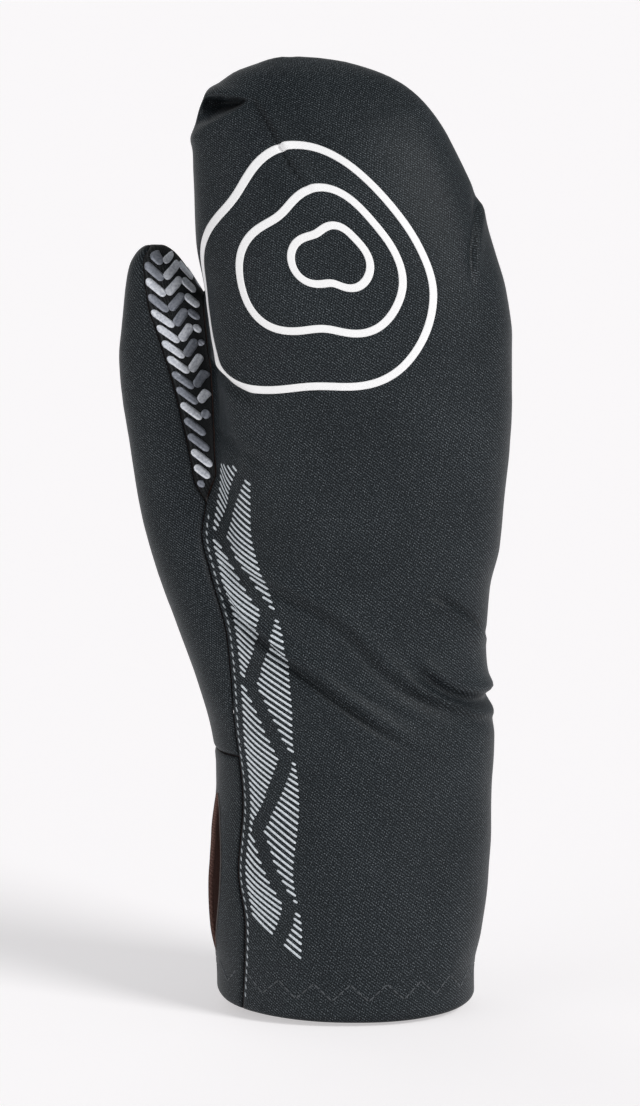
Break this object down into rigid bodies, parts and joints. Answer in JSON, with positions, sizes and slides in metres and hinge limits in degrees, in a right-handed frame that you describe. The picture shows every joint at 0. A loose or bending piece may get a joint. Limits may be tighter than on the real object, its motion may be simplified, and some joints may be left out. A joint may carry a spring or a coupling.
{
  "type": "waterproof overglove",
  "caption": "Right-hand waterproof overmitt in its worn shape: hollow panelled cloth shell with a gripping thumb and palm, long cuff and wrist slit.",
  "frame": {"origin": "middle of the cuff's mouth, in the plane of its edge at the sides", "axes": "+Z along the fingers, +X towards the little finger's side with the thumb at -X, and +Y towards the palm, so the back of the hand faces -Y"},
  "size_m": [0.1256, 0.0704, 0.304],
  "materials": {
    "shell_fabric": "matte fine twill, blue-black, with a brown-black inner face",
    "grip_fabric": "black fabric with a raised silver-grey rubbery print"
  },
  "bodies": {
    "root": {"back_panel": "shell_fabric", "thumb_back": "shell_fabric", "thumb_grip": "grip_fabric", "palm_panel": "grip_fabric", "cuff_panel": "shell_fabric", "cuff_hem": "shell_fabric"}
  },
  "joints": []
}
